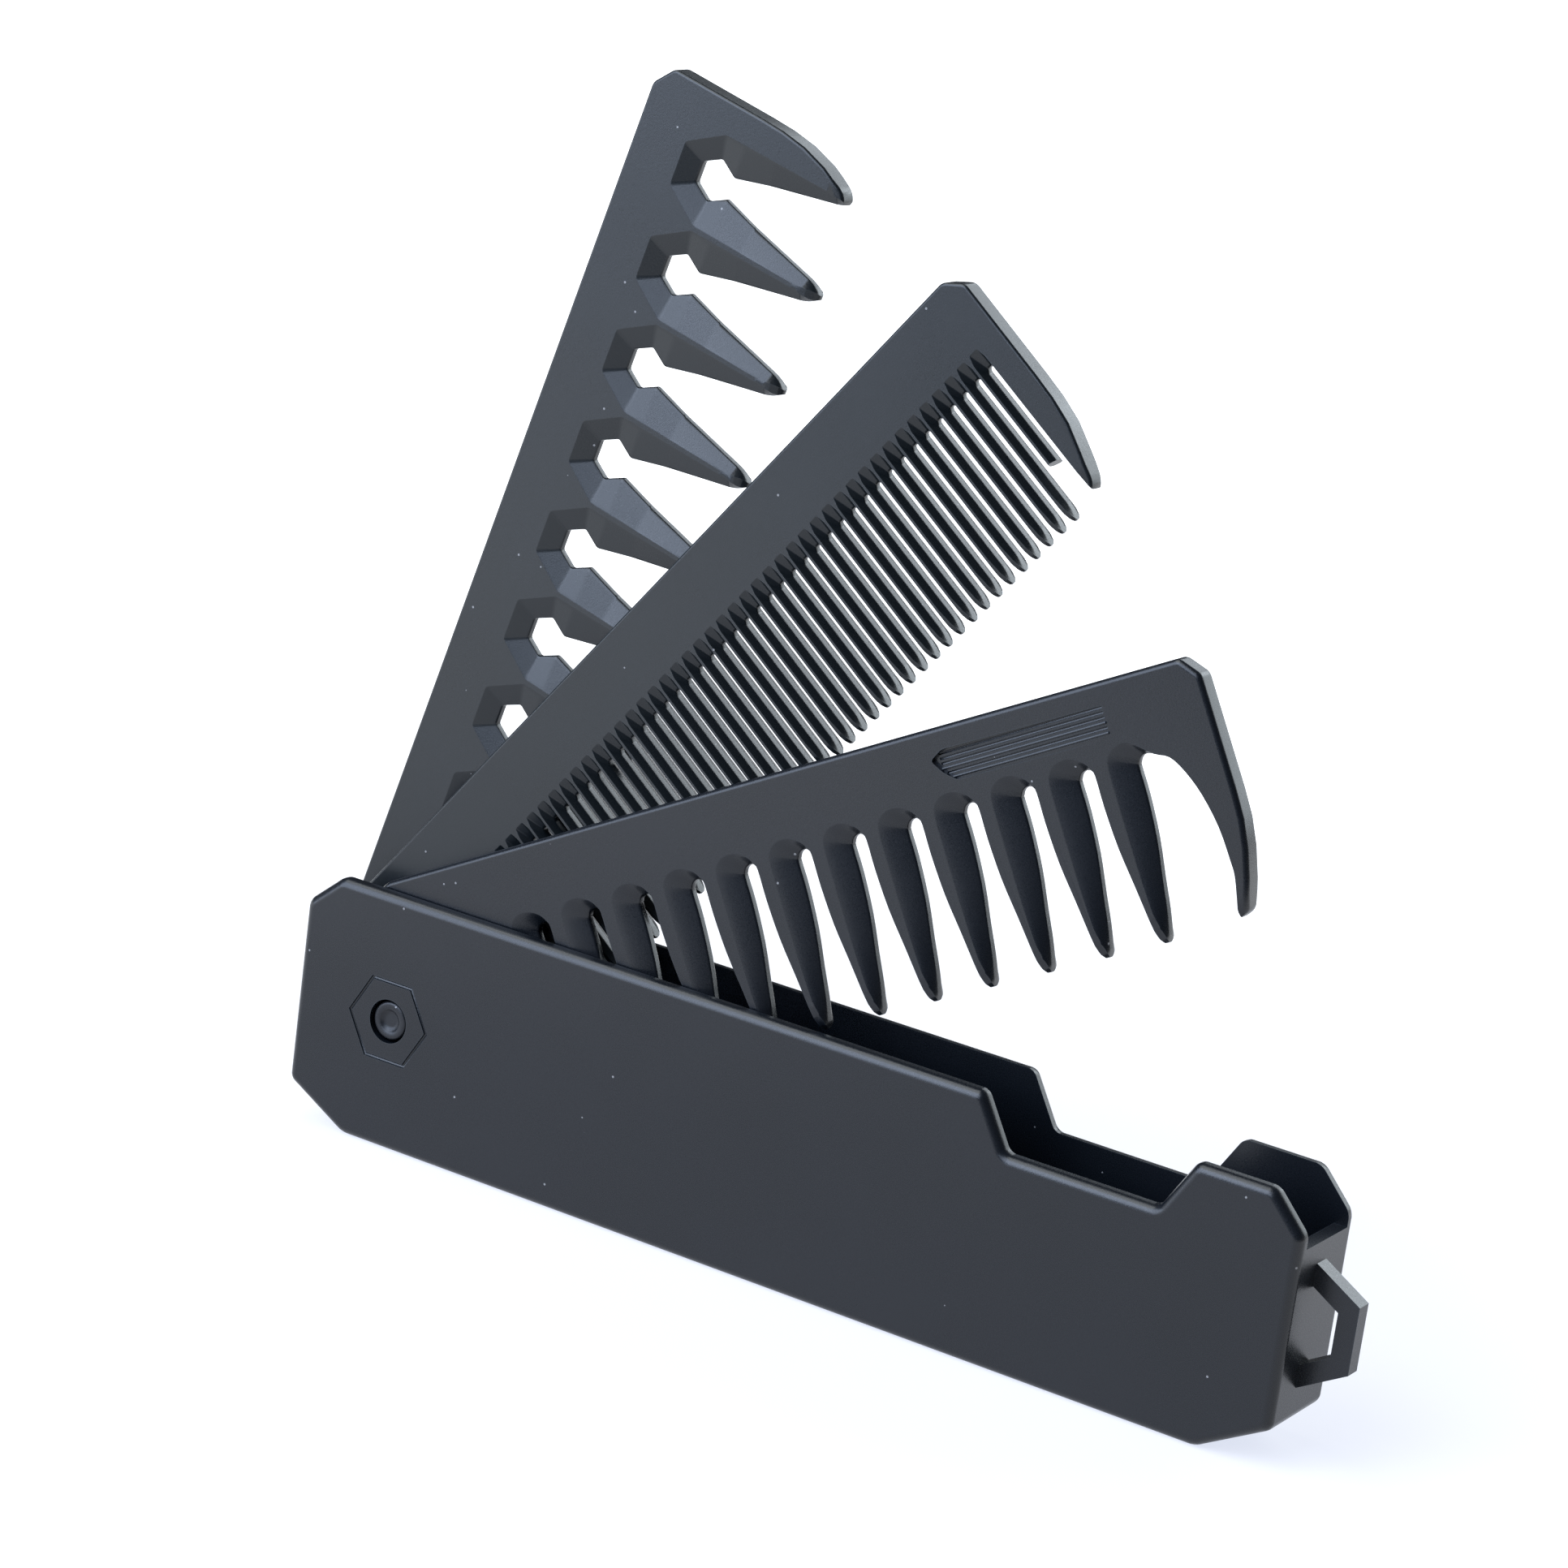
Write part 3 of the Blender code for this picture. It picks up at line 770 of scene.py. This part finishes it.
WIDE_GAP_RIGHT = (
    (1.85, 5.85, 1.45, 7.05),
    (2.20, 5.35, 2.20, 6.2),
    (2.30, 4.9, 2.55, 5.3),
    (2.35, 1.9, 2.55, 1.9),
    (2.60, -2.5, 2.80, -2.5),
    (3.20, -6.8, 3.40, -6.8),
    (3.70, -10.4, 3.88, -10.4),
    (4.02, -12.2, 4.14, -12.2),
    (4.20, -12.9, 4.30, -12.9),
    (4.36, -13.3, 4.44, -13.3),
    (4.56, -13.9, 4.58, -13.9),
)
WIDE_GUARD_RIGHT = (
    (2.40, 5.8, 2.60, 5.9),
    (4.10, 5.0, 4.30, 5.1),
    (5.40, 3.2, 5.60, 3.2),
    (6.50, 0.5, 6.70, 0.5),
    (7.30, -3.1, 7.50, -3.1),
    (7.50, -6.7, 7.70, -6.7),
    (7.48, -8.4, 7.68, -8.4),
    (6.95, -10.8, 7.15, -10.8),
    (6.66, -12.1, 6.86, -12.1),
    (6.95, -13.9, 7.10, -13.9),
)
WIDE_FIRST = 103.3 * MM
WIDE_PITCH = 7.35 * MM
WIDE_GAPS = 12
WIDE_OPEN = 28.4
WIDE_RIM = 0.6 * MM


def scooped_gap(name, right, wall):
    """A gap of the wide comb, from its lower left round the root to its lower right."""
    rows = WIDE_GAP_LEFT + right
    inner = curved([(wall + a * MM, b * MM) for a, b, c, d in rows])
    outer = curved([(wall + c * MM, d * MM) for a, b, c, d in rows])
    return tool_through(name, flared_rings(inner, outer, SCOOPED))


wide = comb_plate(
    "wide_teeth", WIDE_END, (4.0 * MM, 15.45 * MM), ((13.5, -9.6), (16.0, -13.4)), WIDE_RIM, 5
)
guard_gap = scooped_gap("wide_guard_gap", WIDE_GUARD_RIGHT, WIDE_FIRST)
gap = scooped_gap("wide_gap", WIDE_GAP_RIGHT, WIDE_FIRST - WIDE_PITCH)
combine(wide, merged([guard_gap] + along_comb(gap, WIDE_GAPS - 1, WIDE_PITCH)))
print("Wide gaps cut:", len(wide.data.polygons), "faces")

# %% [markdown]
# The grip on the spine is a shallow pocket that runs out towards the end, with thin grooves
# along it. The grooves are round rods laid on the pocket's slope and cut out together.

# %% Thumb grip
GRIP_OUTLINE = (
    (79.7, 11.5),
    (80.8, 10.0),
    (82.2, 8.9),
    (100.6, 8.65),
    (100.6, 12.15),
    (81.4, 12.4),
)
GRIP_DEPTH = 0.55 * MM
GRIP_END = 100.6 * MM
GRIP_START = 79.7 * MM
GRIP_PITCH = 0.55 * MM
GRIP_GROOVES = 6
GRIP_LOWEST = 9.25 * MM
GRIP_MARGIN = 0.9 * MM
ROD_RADIUS = 0.15 * MM

pocket_ring = softened(in_metres(GRIP_OUTLINE), 0.4 * MM)
pocket = tool_through(
    "grip_pocket", [(-COMB_HALF - MM, pocket_ring), (-COMB_HALF + GRIP_DEPTH, pocket_ring)]
)
slope = GRIP_DEPTH / (GRIP_END - GRIP_START)
edit(pocket)
shape = bmesh.from_edit_mesh(pocket.data)
for corner in shape.verts:
    if corner.co.y > -COMB_HALF:
        corner.co.y = -COMB_HALF + slope * (GRIP_END - corner.co.x)
bmesh.update_edit_mesh(pocket.data)
leave()
combine(wide, pocket)
rods = []
for index in range(GRIP_GROOVES):
    height = GRIP_LOWEST + index * GRIP_PITCH
    start = GRIP_START + GRIP_MARGIN + GRIP_MARGIN * max(0, 2 - index) / 2
    reach = GRIP_END + MM - start
    bpy.ops.object.select_all(action="DESELECT")
    bpy.ops.mesh.primitive_cylinder_add(
        vertices=8,
        radius=ROD_RADIUS,
        depth=reach,
        location=(start + reach / 2, -COMB_HALF + slope * (GRIP_END - start - reach / 2), height),
        rotation=(0, math.pi / 2, -math.atan(slope)),
    )
    bpy.ops.object.transform_apply()
    rods.append(bpy.context.object)
combine(wide, merged(rods))
even_shading(wide)
lay_in_place(wide, -1, WIDE_OPEN)
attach(wide, "wide_comb")
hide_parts("wide_comb")
print("Wide comb:", len(wide.data.polygons), "faces")

# %% [markdown]
# ## Plastic
#
# Matt moulded plastic is never one flat colour: the tool leaves a fine grain, handling polishes
# the edges, and a few specks of dust settle on it. Each effect is a node group of its own.

# %% Node group helpers
def new_group(name, inputs, outputs):
    """A shader node group with named sockets, and its input and output nodes."""
    group = bpy.data.node_groups.new(name, "ShaderNodeTree")
    for title, kind, value in inputs:
        socket = group.interface.new_socket(title, in_out="INPUT", socket_type=kind)
        if value is not None:
            socket.default_value = value
    for title, kind in outputs:
        group.interface.new_socket(title, in_out="OUTPUT", socket_type=kind)
    return group, group.nodes.new("NodeGroupInput"), group.nodes.new("NodeGroupOutput")


def math_node(group, operation, first, second):
    """A Math node, whose two values are sockets or numbers."""
    node = group.nodes.new("ShaderNodeMath")
    node.operation = operation
    for socket, value in zip(node.inputs, (first, second)):
        if isinstance(value, (int, float)):
            socket.default_value = value
        else:
            group.links.new(value, socket)
    return node.outputs[0]


# %% [markdown]
# The grain is a fine noise, for the relief and for paler flecks in the sheen. A second, much
# larger noise lets tone and sheen drift over a piece.

# %% Moulded grain
FLOAT = "NodeSocketFloat"
VECTOR = "NodeSocketVector"
FLECK_GAIN = 3.0
FLECK_START = -1.0

grain, grain_in, grain_out = new_group(
    "Moulded grain",
    [("Position", VECTOR, None), ("Grain scale", FLOAT, 5000.0), ("Flow scale", FLOAT, 70.0)],
    [("Height", FLOAT), ("Fleck", FLOAT), ("Flow", FLOAT)],
)
fine_noise = grain.nodes.new("ShaderNodeTexNoise")
fine_noise.inputs["Detail"].default_value = 3
fine_noise.inputs["Roughness"].default_value = 0.6
flow_noise = grain.nodes.new("ShaderNodeTexNoise")
flow_noise.inputs["Detail"].default_value = 2
grain.links.new(grain_in.outputs["Position"], fine_noise.inputs["Vector"])
grain.links.new(grain_in.outputs["Grain scale"], fine_noise.inputs["Scale"])
grain.links.new(grain_in.outputs["Position"], flow_noise.inputs["Vector"])
grain.links.new(grain_in.outputs["Flow scale"], flow_noise.inputs["Scale"])
grain.links.new(fine_noise.outputs["Fac"], grain_out.inputs["Height"])
sharpened = math_node(grain, "MULTIPLY_ADD", fine_noise.outputs["Fac"], FLECK_GAIN)
sharpened.node.inputs[2].default_value = FLECK_START
sharpened.node.use_clamp = True
grain.links.new(sharpened, grain_out.inputs["Fleck"])
grain.links.new(flow_noise.outputs["Fac"], grain_out.inputs["Flow"])
print("Group", grain.name, "made")

# %% [markdown]
# Handling polishes the edges first. A rounded normal differs from the true one only near an
# edge, so the angle between the two is a mask of the edges, and noise breaks it up.

# %% Worn edges
EDGE_REACH = 0.25 * MM
EDGE_GAIN = 6.0

wear, wear_in, wear_out = new_group(
    "Worn edges",
    [("Position", VECTOR, None), ("Patchiness", FLOAT, 900.0)],
    [("Wear", FLOAT)],
)
geometry = wear.nodes.new("ShaderNodeNewGeometry")
rounded = wear.nodes.new("ShaderNodeBevel")
rounded.samples = 4
rounded.inputs["Radius"].default_value = EDGE_REACH
facing = wear.nodes.new("ShaderNodeVectorMath")
facing.operation = "DOT_PRODUCT"
wear.links.new(geometry.outputs["Normal"], facing.inputs[0])
wear.links.new(rounded.outputs["Normal"], facing.inputs[1])
turned = math_node(wear, "SUBTRACT", 1.0, facing.outputs["Value"])
patches = wear.nodes.new("ShaderNodeTexNoise")
wear.links.new(wear_in.outputs["Position"], patches.inputs["Vector"])
wear.links.new(wear_in.outputs["Patchiness"], patches.inputs["Scale"])
strong = math_node(wear, "MULTIPLY", turned, EDGE_GAIN)
worn = math_node(wear, "MULTIPLY", strong, patches.outputs["Fac"])
worn.node.use_clamp = True
wear.links.new(worn, wear_out.inputs["Wear"])
print("Group", wear.name, "made")

# %% [markdown]
# Dust is a few tiny dots: the points of a Voronoi pattern that lie very close to a cell's middle.

# %% Dust specks
dust, dust_in, dust_out = new_group(
    "Dust specks",
    [("Position", VECTOR, None), ("Spacing scale", FLOAT, 260.0), ("Speck radius", FLOAT, 0.035)],
    [("Speck", FLOAT)],
)
cells = dust.nodes.new("ShaderNodeTexVoronoi")
dust.links.new(dust_in.outputs["Position"], cells.inputs["Vector"])
dust.links.new(dust_in.outputs["Spacing scale"], cells.inputs["Scale"])
near = math_node(dust, "LESS_THAN", cells.outputs["Distance"], dust_in.outputs["Speck radius"])
dust.links.new(near, dust_out.inputs["Speck"])
print("Group", dust.name, "made")


# %% [markdown]
# The finishes share one recipe and differ in tone, gloss and grain: black for the case and the
# front comb, charcoal for the two other combs, and blackened metal for the pin.

# %% Plastics and pin finish
def linear(channel):
    value = channel / 255
    return value / 12.92 if value <= 0.04045 else ((value + 0.055) / 1.055) ** 2.4


def colour(red, green, blue):
    return [linear(red), linear(green), linear(blue), 1.0]


def blend_colours(tree, amount, under, over):
    node = tree.nodes.new("ShaderNodeMix")
    node.data_type = "RGBA"
    tree.links.new(amount, node.inputs["Factor"])
    for socket, value in ((node.inputs["A"], under), (node.inputs["B"], over)):
        if isinstance(value, list):
            socket.default_value = value
        else:
            tree.links.new(value, socket)
    return node.outputs["Result"]


def place_group(tree, group, position):
    node = tree.nodes.new("ShaderNodeGroup")
    node.node_tree = group
    tree.links.new(position, node.inputs["Position"])
    return node


PLASTIC_IOR = 1.45
SPECK_TONE = colour(120, 120, 122)
FLECK_GLOSS = 0.06
FLOW_GLOSS = 0.08
RELIEF_DEPTH = 0.02 * MM


def moulded(name, deep, pale, worn_tone, roughness, grain_scale, bump, metallic=0.0):
    """A moulded finish: grain in colour and bump, drifting sheen, worn edges and specks."""
    material = bpy.data.materials.new(name)
    material.use_nodes = True
    tree = material.node_tree
    shader = tree.nodes["Principled BSDF"]
    shader.inputs["Metallic"].default_value = metallic
    shader.inputs["IOR"].default_value = PLASTIC_IOR
    place = tree.nodes.new("ShaderNodeTexCoord").outputs["Object"]
    grained = place_group(tree, grain, place)
    grained.inputs["Grain scale"].default_value = grain_scale
    edges = place_group(tree, wear, place)
    specks = place_group(tree, dust, place)
    tone = blend_colours(tree, grained.outputs["Flow"], deep, pale)
    tone = blend_colours(tree, edges.outputs["Wear"], tone, worn_tone)
    tone = blend_colours(tree, specks.outputs["Speck"], tone, SPECK_TONE)
    tree.links.new(tone, shader.inputs["Base Color"])
    gloss = math_node(tree, "MULTIPLY_ADD", grained.outputs["Fleck"], FLECK_GLOSS)
    gloss.node.inputs[2].default_value = roughness
    drift = math_node(tree, "MULTIPLY_ADD", grained.outputs["Flow"], FLOW_GLOSS)
    tree.links.new(gloss, drift.node.inputs[2])
    tree.links.new(drift, shader.inputs["Roughness"])
    relief = tree.nodes.new("ShaderNodeBump")
    relief.inputs["Strength"].default_value = bump
    relief.inputs["Distance"].default_value = RELIEF_DEPTH
    tree.links.new(grained.outputs["Height"], relief.inputs["Height"])
    tree.links.new(relief.outputs["Normal"], shader.inputs["Normal"])
    return material


BLACK = moulded(
    "matt_black_plastic", colour(11, 15, 20), colour(14, 18, 24), colour(34, 40, 46), 0.22, 5000, 0.5
)
CHARCOAL = moulded(
    "charcoal_plastic", colour(14, 19, 22), colour(18, 23, 27), colour(38, 44, 48), 0.24, 5000, 0.5
)
PIN_FINISH = moulded(
    "blackened_pin", colour(26, 28, 32), colour(34, 36, 40), colour(80, 82, 86), 0.3, 7000, 0.3, 0.3
)
case.data.materials.append(BLACK)
wide.data.materials.append(BLACK)
detangling.data.materials.append(CHARCOAL)
fine.data.materials.append(CHARCOAL)
pin.data.materials.append(PIN_FINISH)
print("Finishes:", BLACK.name, CHARCOAL.name, PIN_FINISH.name)

# %% [markdown]
# ## The set
#
# The object stands on a pale, evenly lit sheet and throws only a faint shadow. So the floor glows
# a little near the object, where a shadow can still fall, and is fully white further out. Towards
# the camera, out of the picture, it has painted shade: it is dark, standing for the dark room there,
# and keeps its light off the front faces.

# %% Floor
bpy.ops.object.select_all(action="DESELECT")
bpy.ops.mesh.primitive_plane_add(size=8, location=(0, 0, -0.05 * MM))
floor = bpy.context.object
floor.name = "floor"
paper = bpy.data.materials.new("pale_floor")
paper.use_nodes = True
sheet = paper.node_tree
CAMERA_SIDE = (0.51, -0.86, 0)
NEAR_AND_FAR = (0.07, 0.3)
PAINTED_SHADE_FADE = (0.14, 0.32)
SHEET_TONE = (0.30, 0.27, 0.22, 1)
# Painted shade: the floor's tone towards the camera, dark for the dark room on that side.
PAINTED_SHADE_TONE = (0.10, 0.10, 0.11, 1)
NEAR_TINT = (0.81, 0.86, 1.0, 1)
NEAR_GLOW = 0.86
FAR_TINT = (0.93, 0.96, 1.0, 1)
FAR_GLOW = 2.0


def ramp_from(value, start, stop):
    """A mask that grows from 0 to 1 between two values."""
    node = sheet.nodes.new("ShaderNodeMapRange")
    node.interpolation_type = "SMOOTHSTEP"
    node.inputs["From Min"].default_value = start
    node.inputs["From Max"].default_value = stop
    sheet.links.new(value, node.inputs["Value"])
    return node.outputs["Result"]


spot = sheet.nodes.new("ShaderNodeTexCoord").outputs["Object"]
away = sheet.nodes.new("ShaderNodeVectorMath")
away.operation = "LENGTH"
sheet.links.new(spot, away.inputs[0])
ahead = sheet.nodes.new("ShaderNodeVectorMath")
ahead.operation = "DOT_PRODUCT"
ahead.inputs[1].default_value = CAMERA_SIDE
sheet.links.new(spot, ahead.inputs[0])
far = ramp_from(away.outputs["Value"], *NEAR_AND_FAR)
# Mask of the painted shade, growing towards the camera.
front = ramp_from(ahead.outputs["Value"], *PAINTED_SHADE_FADE)
tint = sheet.nodes.new("ShaderNodeMix")
tint.data_type = "RGBA"
tint.inputs["A"].default_value = SHEET_TONE
tint.inputs["B"].default_value = PAINTED_SHADE_TONE
sheet.links.new(front, tint.inputs["Factor"])
lit = sheet.nodes["Principled BSDF"]
sheet.links.new(tint.outputs["Result"], lit.inputs["Base Color"])
lit.inputs["Roughness"].default_value = 0.8
lit.inputs["Specular IOR Level"].default_value = 0.1
lit.inputs["Emission Color"].default_value = NEAR_TINT
# The near glow fades out under the painted shade towards the camera.
near_glow = sheet.nodes.new("ShaderNodeMath")
near_glow.operation = "MULTIPLY_ADD"
near_glow.inputs[1].default_value = -NEAR_GLOW
near_glow.inputs[2].default_value = NEAR_GLOW
sheet.links.new(front, near_glow.inputs[0])
sheet.links.new(near_glow.outputs[0], lit.inputs["Emission Strength"])
# The far glow stops where the painted shade begins.
open_floor = sheet.nodes.new("ShaderNodeMath")
open_floor.operation = "SUBTRACT"
open_floor.use_clamp = True
sheet.links.new(far, open_floor.inputs[0])
sheet.links.new(front, open_floor.inputs[1])
glow = sheet.nodes.new("ShaderNodeEmission")
glow.inputs["Color"].default_value = FAR_TINT
glow.inputs["Strength"].default_value = FAR_GLOW
both = sheet.nodes.new("ShaderNodeMixShader")
sheet.links.new(open_floor.outputs[0], both.inputs["Fac"])
sheet.links.new(lit.outputs["BSDF"], both.inputs[1])
sheet.links.new(glow.outputs["Emission"], both.inputs[2])
sheet.links.new(both.outputs["Shader"], sheet.nodes["Material Output"].inputs["Surface"])
floor.data.materials.append(paper)
print("Floor:", round(floor.dimensions.x, 2), "m wide")

# %% [markdown]
# The camera stands to the right of the front and looks down a little, through a long lens.

# %% Camera
CAMERA_PLACE = Vector((0.238237, -0.414847, 0.189818))
LOOK = Vector((-0.49017, 0.82888, -0.26960))
RIGHT = Vector((0.83423, 0.53576, 0.13045))
UP = Vector((-0.2526, 0.1610, 0.9541))
lens = bpy.data.cameras.new("camera")
lens.lens = 105.02
lens.sensor_width = 36
camera = bpy.data.objects.new("camera", lens)
bpy.context.scene.collection.objects.link(camera)
turn = Matrix((RIGHT, UP, -LOOK)).transposed().to_4x4()
camera.matrix_world = Matrix.Translation(CAMERA_PLACE) @ turn
bpy.context.scene.camera = camera
print("Camera:", round(CAMERA_PLACE.length, 3), "m from the middle of the base")


# %% [markdown]
# Two tall soft boxes in front and to the left colour the front faces a cool grey. One above
# draws the top edges, and two behind light the end faces and the inner walls of the teeth.

# %% Light
MIDDLE = Vector((0, 0, 0.06))


def direction(heading, height):
    """A direction from the object: degrees to the right of the front, and degrees up."""
    across, up = math.radians(heading), math.radians(height)
    return Vector((math.sin(across) * math.cos(up), -math.cos(across) * math.cos(up), math.sin(up)))


def lit_panel(name, heading, height, distance, size, radiance, tint):
    """A soft box seen from the object in this direction, with an even brightness."""
    light = bpy.data.lights.new(name, "AREA")
    light.shape = "RECTANGLE"
    light.size, light.size_y = size
    light.energy = radiance * math.pi * size[0] * size[1]
    light.color = tint
    lamp = bpy.data.objects.new(name, light)
    bpy.context.scene.collection.objects.link(lamp)
    lamp.visible_camera = False
    away = direction(heading, height)
    turned = away.to_track_quat("Z", "Y").to_matrix().to_4x4()
    lamp.matrix_world = Matrix.Translation(MIDDLE + away * distance) @ turned


# Name, heading and height in degrees, size in metres, radiance and tint of each soft box.
PANELS = (
    ("front_left_box", -43, 20, (0.75, 0.95), 5.7, (0.68, 0.79, 1.0)),
    ("front_high_box", -13, 34, (0.55, 0.85), 5.3, (0.68, 0.79, 1.0)),
    ("top_box", -60, 62, (0.8, 0.6), 4.0, (0.92, 0.97, 1.0)),
    ("back_right_box", 150, 20, (0.8, 0.6), 3.6, (0.85, 0.94, 1.0)),
    ("back_box", 178, 33, (0.75, 0.45), 3.2, (0.85, 0.93, 1.0)),
)
PANEL_DISTANCE = 1.0
ROOM_LIGHT = 0.07
BACKDROP = 1.5

for name, heading, height, size, radiance, tint in PANELS:
    lit_panel(name, heading, height, PANEL_DISTANCE, size, radiance, tint)
world = bpy.data.worlds.new("studio")
bpy.context.scene.world = world
world.use_nodes = True
room = world.node_tree
seen = room.nodes.new("ShaderNodeLightPath").outputs["Is Camera Ray"]
brightness = room.nodes.new("ShaderNodeMix")
room.links.new(seen, brightness.inputs["Factor"])
brightness.inputs["A"].default_value = ROOM_LIGHT
brightness.inputs["B"].default_value = BACKDROP
sky = room.nodes["Background"]
sky.inputs["Color"].default_value = (0.93, 0.95, 1.0, 1)
room.links.new(brightness.outputs["Result"], sky.inputs["Strength"])
bpy.context.scene.view_settings.view_transform = "Standard"
print("Soft boxes:", len(PANELS))
